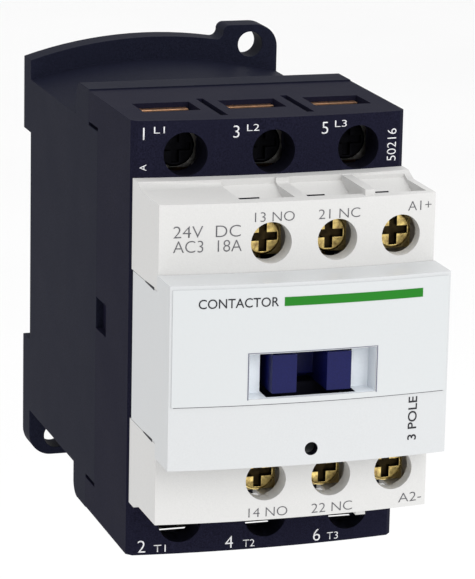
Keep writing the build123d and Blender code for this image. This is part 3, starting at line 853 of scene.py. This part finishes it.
@dataclass
class Workings:
    """Magnet, coil, bridges, arc plates and housing screws inside the casing.

    Attributes:
        finishes: All the finishes.
    """

    finishes: Finishes

    def build(self, nodes: dict[str, bpy.types.Object]) -> None:
        """Dress the inner pieces.

        Args:
            nodes: CAD node objects by name.
        """
        plan = {
            "magnet_yoke": "magnet_steel", "magnet_core": "magnet_steel",
            "armature": "magnet_steel", "coil_bobbin": "bobbin_moulding",
            "coil_winding": "enamelled_wire", "arc_plates": "zinc_steel",
            "housing_screws": "zinc_steel", "power_bridge_1": "contact_silver",
            "power_bridge_2": "contact_silver", "power_bridge_3": "contact_silver",
            "aux_bridge_no": "contact_silver", "aux_bridge_nc": "contact_silver",
        }
        for node, finish in plan.items():
            coated(nodes[node], self.finishes[finish])
            LOG.info("%s dressed in %s", node, finish)


@dataclass
class Shade:
    """Dark sleeve round the carrier's passage: painted shade, a dark sheet that makes the space
    behind the window read as shade.

    Attributes:
        finishes: All the finishes.
        half_width: Half the width of the sleeve.
        half_height: Half its height.
        brim: Width of the brim all round.
        front: Place of the brim in depth.
        length: Length of the sleeve behind the brim.
        sheet: Thickness of the sheet.
    """

    finishes: Finishes
    half_width: float = 6.66 * MM
    half_height: float = 3.31 * MM
    brim: float = 2.0 * MM
    front: float = -87.66 * MM
    length: float = 3.0 * MM
    sheet: float = 0.05 * MM

    def build(self) -> None:
        """Fold the sleeve from a flat plate and put it in its passage."""
        bpy.ops.object.select_all(action="DESELECT")
        bpy.ops.mesh.primitive_plane_add(size=2.0)
        size = (self.half_width + self.brim, self.half_height + self.brim, 1.0, 1.0)
        shade = stood_up(active(), Matrix.Translation((0.0, self.front, 0.0)) @ UPRIGHT
                         @ Matrix.Diagonal(size))
        shade.name = "window_shade"
        bpy.ops.object.mode_set(mode="EDIT")
        bpy.ops.mesh.select_all(action="SELECT")
        bpy.ops.mesh.inset(thickness=self.brim)
        bpy.ops.mesh.extrude_region_move(TRANSFORM_OT_translate={"value": (0, self.length, 0)})
        bpy.ops.mesh.delete(type="ONLY_FACE")
        bpy.ops.mesh.select_all(action="SELECT")
        bpy.ops.mesh.normals_make_consistent(inside=False)
        bpy.ops.object.mode_set(mode="OBJECT")
        walls = shade.modifiers.new("sheet", "SOLIDIFY")
        walls.thickness = self.sheet
        walls.offset = 0.0
        finish_modifier(shade, walls)
        placed(shade, "root", "black_plastic", self.finishes["opening_lining"])


@dataclass
class Catches:
    """Narrow dark slots in the sides, where the cover's wings hook into the housing: painted
    shade, thin dark sheets standing in for the shadow in the catches.

    Attributes:
        finishes: All the finishes.
        half_width: Distance of the slots from the middle plane.
        heights: Heights of the upper and the lower slot.
        middle: Place of the slots' middle in depth.
        length: Length of a slot.
        height: Height of a slot at its front end.
        taper: Height at the rear end as a share of that.
        sheet: Thickness of the dark sheet of painted shade that fills a slot.
    """

    finishes: Finishes
    half_width: float = 22.3 * MM
    heights: tuple[float, float] = (11.85 * MM, -12.35 * MM)
    middle: float = -81.5 * MM
    length: float = 5.0 * MM
    height: float = 0.5 * MM
    taper: float = 0.4
    sheet: float = 0.06 * MM

    def slot(self, side: int, height: float) -> bpy.types.Object:
        """Make one slot that tapers towards the rear.

        Args:
            side: 1 on the right, -1 on the left.
            height: Its place up the side.

        Returns:
            The slot.
        """
        bpy.ops.object.select_all(action="DESELECT")
        bpy.ops.mesh.primitive_cube_add(size=1.0)
        size = Matrix.Diagonal((self.sheet, self.length, self.height, 1.0))
        place = Matrix.Translation((side * self.half_width, self.middle, height))
        slot = stood_up(active(), place @ size)
        for vertex in slot.data.vertices:
            if vertex.co.y > self.middle:
                vertex.co.z = height + (vertex.co.z - height) * self.taper
        return slot

    def build(self) -> None:
        """Make the four slots as one piece."""
        slots = [self.slot(side, height) for side in (-1, 1) for height in self.heights]
        piece = joined_up(slots, "wing_catch_slots")
        bevel = piece.modifiers.new("rounded", "BEVEL")
        bevel.width = self.sheet / 4
        bevel.segments = 2
        finish_modifier(piece, bevel)
        placed(piece, "root", "black_plastic", self.finishes["opening_lining"])


@dataclass
class Springs:
    """Wire springs copied from the frame and put on their bodies.

    Attributes:
        finishes: All the finishes.
        travels: Travel of each sliding joint by name; not used.
    """

    finishes: Finishes
    travels: dict[str, float]

    def spring(self, source: bpy.types.Object, name: str, body: str) -> bpy.types.Object:
        """Copy a spring set of the frame as a smooth piece on its body.

        Args:
            source: The CAD node's object.
            name: Name of the new piece.
            body: The CAD body that it rides on.

        Returns:
            The spring piece.
        """
        piece = refined(source, name, 0.0, joined=False)
        return placed(piece, body, "spring_steel", self.finishes["spring_wire"])

    def keep_beside(self, piece: bpy.types.Object, neighbour: str) -> None:
        """Keep only the springs that lie in line with a neighbour, across the width.

        Args:
            piece: A set of springs.
            neighbour: The CAD node that the kept spring pushes.
        """
        low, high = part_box(neighbour)
        pick(piece)
        bpy.ops.object.mode_set(mode="EDIT")
        bpy.ops.mesh.select_all(action="DESELECT")
        bpy.ops.object.mode_set(mode="OBJECT")
        for vertex in piece.data.vertices:
            vertex.select = not low.x < vertex.co.x < high.x
        bpy.ops.object.mode_set(mode="EDIT")
        bpy.ops.mesh.delete(type="VERT")
        bpy.ops.object.mode_set(mode="OBJECT")

    def shorten(self, piece: bpy.types.Object) -> None:
        """Give a spring its own copy of its mesh.

        Args:
            piece: The finished spring.
        """
        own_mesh(piece)

    def build(self, nodes: dict[str, bpy.types.Object]) -> None:
        """Make every spring and hide the CAD nodes that the springs stand for.

        Args:
            nodes: CAD node objects by name.
        """
        rear = self.spring(nodes["return_springs"], "return_spring_pair", "root")
        self.shorten(rear)
        bridges = self.spring(nodes["contact_springs"], "bridge_spring_set", "carrier")
        self.shorten(bridges)
        make = self.spring(nodes["aux_contact_springs"], "aux_spring_no", "carrier")
        self.keep_beside(make, "aux_bridge_no")
        self.shorten(make)
        rest = self.spring(nodes["aux_contact_springs"], "aux_spring_nc", "carrier")
        self.keep_beside(rest, "aux_bridge_nc")
        latch = self.spring(nodes["rail_latch_springs"], "latch_spring_pair", "root")
        self.shorten(latch)
        for piece, node in ((rear, "return_springs"), (bridges, "contact_springs"),
                            (make, "aux_contact_springs"), (rest, "aux_contact_springs"),
                            (latch, "rail_latch_springs")):
            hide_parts(node)


@dataclass(frozen=True)
class Mark:
    """One line of lettering on a face, sizes in millimetres.

    Attributes:
        text: What it says.
        x: Left end, or the centre line of an upward line.
        z: Baseline, or the low end of an upward line.
        height: Height of a capital letter.
        length: Length of the line, 0 to keep the natural one.
        reading: Which way it runs.
    """

    text: str
    x: float
    z: float
    height: float
    length: float = 0.0
    reading: Reading = Reading.ACROSS


POWER_MARKS = (
    Mark("1", -20.8, 32.4, 2.0), Mark("L1", -19.1, 33.4, 1.1, 1.7),
    Mark("3", -6.5, 32.4, 2.0), Mark("L2", -4.3, 33.4, 1.1, 2.0),
    Mark("5", 8.1, 32.4, 2.0), Mark("L3", 10.3, 33.4, 1.1, 2.0),
    Mark("2", -20.8, -35.0, 2.1), Mark("T1", -18.2, -35.0, 1.25, 1.95),
    Mark("4", -6.5, -35.0, 2.1), Mark("T2", -3.5, -35.0, 1.25, 1.95),
    Mark("6", 8.5, -35.0, 2.1), Mark("T3", 10.9, -35.0, 1.25, 1.95),
    Mark("50216", 21.0, 27.4, 1.6, 5.2, Reading.UPWARDS),
    Mark("A", -20.2, 27.5, 1.1, 0.0, Reading.UPWARDS),
)
CONTROL_MARKS = (
    Mark("13 NO", -7.5, 22.35, 1.55, 6.3), Mark("21 NC", 2.7, 22.35, 1.55, 6.8),
    Mark("A1+", 17.6, 22.75, 1.55, 4.0),
    Mark("14 NO", -7.5, -24.9, 1.55, 6.3), Mark("22 NC", 2.8, -24.9, 1.55, 6.8),
    Mark("A2-", 17.6, -24.6, 1.55, 4.0),
    Mark("24V  DC", -20.1, 20.2, 1.9, 10.4), Mark("AC3  18A", -20.1, 17.9, 1.9, 10.6),
)


@dataclass
class Printing:
    """Printed marks on the shells: generic terminal marks, ratings and a green stripe.

    Attributes:
        finishes: All the finishes.
        shells: The finished shells by name.
        film: Thickness of the ink.
        capital_share: Height of a capital letter as a share of the type's size.
        curve_steps: Points along each curve of a letter.
        strip_steps: Points across a strip, so that it follows the bow.
        stand_off: Place in depth where flat marks are made, clear of every face.
    """

    finishes: Finishes
    shells: dict[str, bpy.types.Object]
    film: float = 0.03 * MM
    capital_share: float = 0.7
    curve_steps: int = 6
    strip_steps: int = 24
    stand_off: float = -120 * MM

    def line(self, mark: Mark, weight: float) -> bpy.types.Object:
        """Make one line of lettering as a flat mesh in front of its face.

        Args:
            mark: What it says and where.
            weight: Offset of the letters' outlines, negative for thin strokes.

        Returns:
            The flat lettering.
        """
        bpy.ops.object.select_all(action="DESELECT")
        bpy.ops.object.text_add()
        letters = active()
        letters.data.body = mark.text
        letters.data.size = mark.height * MM / self.capital_share
        letters.data.offset = weight * mark.height * MM
        letters.data.resolution_u = self.curve_steps
        bpy.ops.object.convert(target="MESH")
        letters = active()
        low = min(vertex.co.x for vertex in letters.data.vertices)
        high = max(vertex.co.x for vertex in letters.data.vertices)
        stretch = mark.length * MM / (high - low) if mark.length else 1.0
        turn = Matrix.Rotation(math.radians(mark.reading.value), 4, "Z")
        shift = Matrix.Translation((mark.x * MM, self.stand_off, mark.z * MM))
        narrow = Matrix.Diagonal((stretch, 1.0, 1.0, 1.0)) @ Matrix.Translation((-low, 0, 0))
        return stood_up(letters, shift @ UPRIGHT @ turn @ narrow)

    def strip(self, x: float, z: float, width: float, height: float) -> bpy.types.Object:
        """Make a flat strip in front of its face, fine enough to follow the bow.

        Args:
            x: Its middle across, in millimetres.
            z: Its middle up, in millimetres.
            width: Its width in millimetres.
            height: Its height in millimetres.

        Returns:
            The flat strip.
        """
        bpy.ops.object.select_all(action="DESELECT")
        bpy.ops.mesh.primitive_grid_add(x_subdivisions=self.strip_steps, y_subdivisions=2,
                                        size=1.0)
        shift = Matrix.Translation((x * MM, self.stand_off, z * MM))
        size = Matrix.Diagonal((width * MM, height * MM, 1.0, 1.0))
        return stood_up(active(), shift @ UPRIGHT @ size)

    def laid(self, pieces: list[bpy.types.Object], name: str, face: Face, finish: str,
             slot: str) -> None:
        """Join flat pieces, lay them on a face and give them the ink's thickness.

        Args:
            pieces: Flat pieces in front of the face.
            name: Name of the joined piece.
            face: The face that carries it.
            finish: Name of its ink.
            slot: The record's material slot.
        """
        print_piece = joined_up(pieces, name)
        wrap = print_piece.modifiers.new("laid", "SHRINKWRAP")
        wrap.target = self.shells[face.value]
        wrap.wrap_method = "PROJECT"
        wrap.use_project_y = True
        wrap.use_positive_direction = True
        wrap.use_negative_direction = False
        wrap.wrap_mode = "ABOVE_SURFACE"
        wrap.offset = self.film / 3
        finish_modifier(print_piece, wrap)
        thick = print_piece.modifiers.new("ink", "SOLIDIFY")
        thick.thickness = self.film
        thick.offset = 1.0
        finish_modifier(print_piece, thick)
        bpy.ops.object.mode_set(mode="EDIT")
        bpy.ops.mesh.select_all(action="SELECT")
        bpy.ops.mesh.normals_make_consistent(inside=False)
        bpy.ops.object.mode_set(mode="OBJECT")
        placed(print_piece, "root", slot, self.finishes[finish])

    def power_marks(self) -> None:
        """Terminal marks of the power side, white on black."""
        lines = [self.line(mark, -0.012) for mark in POWER_MARKS]
        self.laid(lines, "power_marks", Face.POWER, "white_ink", "black_plastic")

    def control_marks(self) -> None:
        """Terminal marks and rating of the control side, grey on white."""
        lines = [self.line(mark, -0.02) for mark in CONTROL_MARKS]
        self.laid(lines, "control_marks", Face.CONTROL, "grey_ink", "white_plastic")

    def cover_marks(self) -> None:
        """Generic word, pole mark, green stripe, painted shade along the groove under the label
        and window outline of the cover.
        """
        word = self.line(Mark("CONTACTOR", -18.2, 10.95, 1.45, 12.4), 0.004)
        self.laid([word], "label_word", Face.LABEL, "dark_ink", "label_film")
        poles = self.line(Mark("3 POLE", 17.4, -12.0, 1.45, 7.0, Reading.UPWARDS), 0.012)
        self.laid([poles], "pole_mark", Face.COVER, "dark_ink", "cover_plastic")
        stripe = self.strip(6.4, 11.6, 22.6, 1.4)
        self.laid([stripe], "green_stripe", Face.LABEL, "green_ink", "label_film")
        # painted shade: a grey line along the groove under the label, standing in for its shadow
        groove_shade_line = self.strip(0.0, -4.48, 43.6, 0.14)
        self.laid([groove_shade_line], "label_seam", Face.COVER, "grey_ink", "label_film")
        outline = [self.strip(-10.35, 0.0, 0.16, 7.3), self.strip(10.35, 0.0, 0.16, 7.3),
                   self.strip(0.0, 3.7, 20.86, 0.1)]
        self.laid(outline, "window_outline", Face.LABEL, "frame_ink", "label_film")

    def build(self) -> None:
        """Print every mark."""
        self.power_marks()
        self.control_marks()
        self.cover_marks()


@dataclass(frozen=True)
class Lamp:
    """One soft square lamp that points at the object.

    Attributes:
        name: Its name.
        place: Its position.
        size: Length of its side.
        power: Its power in watts.
    """

    name: str
    place: tuple[float, float, float]
    size: float
    power: float


LAMPS = (
    Lamp("key", (0.2, -1.1, 0.6), 0.7, 5.2),
    Lamp("fill", (0.9, -0.6, 0.3), 0.6, 1.0),
    Lamp("above", (0.0, -0.3, 1.1), 0.5, 1.2),
)


@dataclass
class Studio:
    """Pale floor, soft lights and the camera.

    Attributes:
        azimuth: Turn of the camera round the object, 0 from the front, in degrees.
        elevation: Its height above the horizon in degrees.
        roll: Its turn about its own line of sight in degrees.
        distance: Its distance from the target.
        lens: Its focal length in millimetres.
        target: The point that it looks at.
        clip: Nearest and farthest distance that it sees.
        floor_gap: Height of the object above the floor.
        floor_size: Side of the floor.
    """

    azimuth: float = -17.6
    elevation: float = 14.15
    roll: float = 1.2
    distance: float = 0.529
    lens: float = 196.6
    target: tuple[float, float, float] = (0.0034, -0.045, 0.0007)
    clip: tuple[float, float] = (0.01, 20.0)
    floor_gap: float = 0.3
    floor_size: float = 6.0

    def floor(self, lowest: float) -> None:
        """Lay the floor just under the object.

        Args:
            lowest: The object's lowest z.
        """
        bpy.ops.object.select_all(action="DESELECT")
        bpy.ops.mesh.primitive_plane_add(size=self.floor_size)
        plane = active()
        plane.name = "floor"
        plane.data.transform(Matrix.Translation((0.0, 0.0, lowest - self.floor_gap)))
        material, tree, shader = new_material("pale_floor")
        place = tree.nodes.new("ShaderNodeTexCoord")
        patches = noise(tree, place, 3.0, detail=2.0)
        colours = ramp(tree, patches, [(0.3, (0.93, 0.93, 0.93)), (0.7, (0.95, 0.95, 0.95))])
        tree.links.new(colours.outputs["Color"], shader.inputs["Base Color"])
        shader.inputs["Roughness"].default_value = 0.9
        coated(plane, material)
        plane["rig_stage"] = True

    def lamp(self, recipe: Lamp) -> None:
        """Hang one lamp and point it at the object.

        Args:
            recipe: What the lamp is and where it hangs.
        """
        data = bpy.data.lights.new(recipe.name, "AREA")
        data.size = recipe.size
        data.energy = recipe.power
        lamp = bpy.data.objects.new(recipe.name, data)
        bpy.context.scene.collection.objects.link(lamp)
        lamp.location = recipe.place
        aim = Vector(self.target) - Vector(recipe.place)
        lamp.rotation_euler = aim.to_track_quat("-Z", "Y").to_euler()

    def camera(self) -> None:
        """Make the camera and point it at the object."""
        data = bpy.data.cameras.new("camera")
        data.lens = self.lens
        data.clip_start, data.clip_end = self.clip
        camera = bpy.data.objects.new("camera", data)
        bpy.context.scene.collection.objects.link(camera)
        turn, rise = math.radians(self.azimuth), math.radians(self.elevation)
        back = Vector((math.sin(turn) * math.cos(rise), -math.cos(turn) * math.cos(rise),
                       math.sin(rise)))
        camera.location = Vector(self.target) + back * self.distance
        look = (-back).to_track_quat("-Z", "Y").to_matrix().to_4x4()
        tilt = Matrix.Rotation(math.radians(self.roll), 4, "Z")
        camera.rotation_euler = (look @ tilt).to_euler()
        bpy.context.scene.camera = camera

    def build(self, lowest: float) -> None:
        """Build the whole studio.

        Args:
            lowest: The object's lowest z.
        """
        self.floor(lowest)
        for recipe in LAMPS:
            self.lamp(recipe)
        world = bpy.data.worlds.new("studio")
        world.use_nodes = True
        background = world.node_tree.nodes["Background"]
        background.inputs["Color"].default_value = (1.0, 1.0, 1.0, 1.0)
        background.inputs["Strength"].default_value = 1.0
        bpy.context.scene.world = world
        bpy.context.scene.view_settings.view_transform = "Standard"
        self.camera()


def main() -> None:
    """Build the whole contactor."""
    logging.basicConfig(level=logging.INFO, format="%(name)s: %(message)s")
    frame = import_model()
    cad_low, cad_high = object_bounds()
    nodes = frame["nodes"]
    finishes = Finishes()
    finishes.build()
    studio = Studio()
    studio.build(cad_low.z)
    casing = Casing(finishes)
    casing.build(nodes)
    Terminals(finishes).build(nodes)
    Workings(finishes).build(nodes)
    travels = {joint["name"]: joint["range_m"][1] for joint in frame["joints"]
               if "range_m" in joint}
    Springs(finishes, travels).build(nodes)
    Shade(finishes).build()
    Catches(finishes).build()
    Printing(finishes, casing.shells).build()


if __name__ == "__main__":
    main()
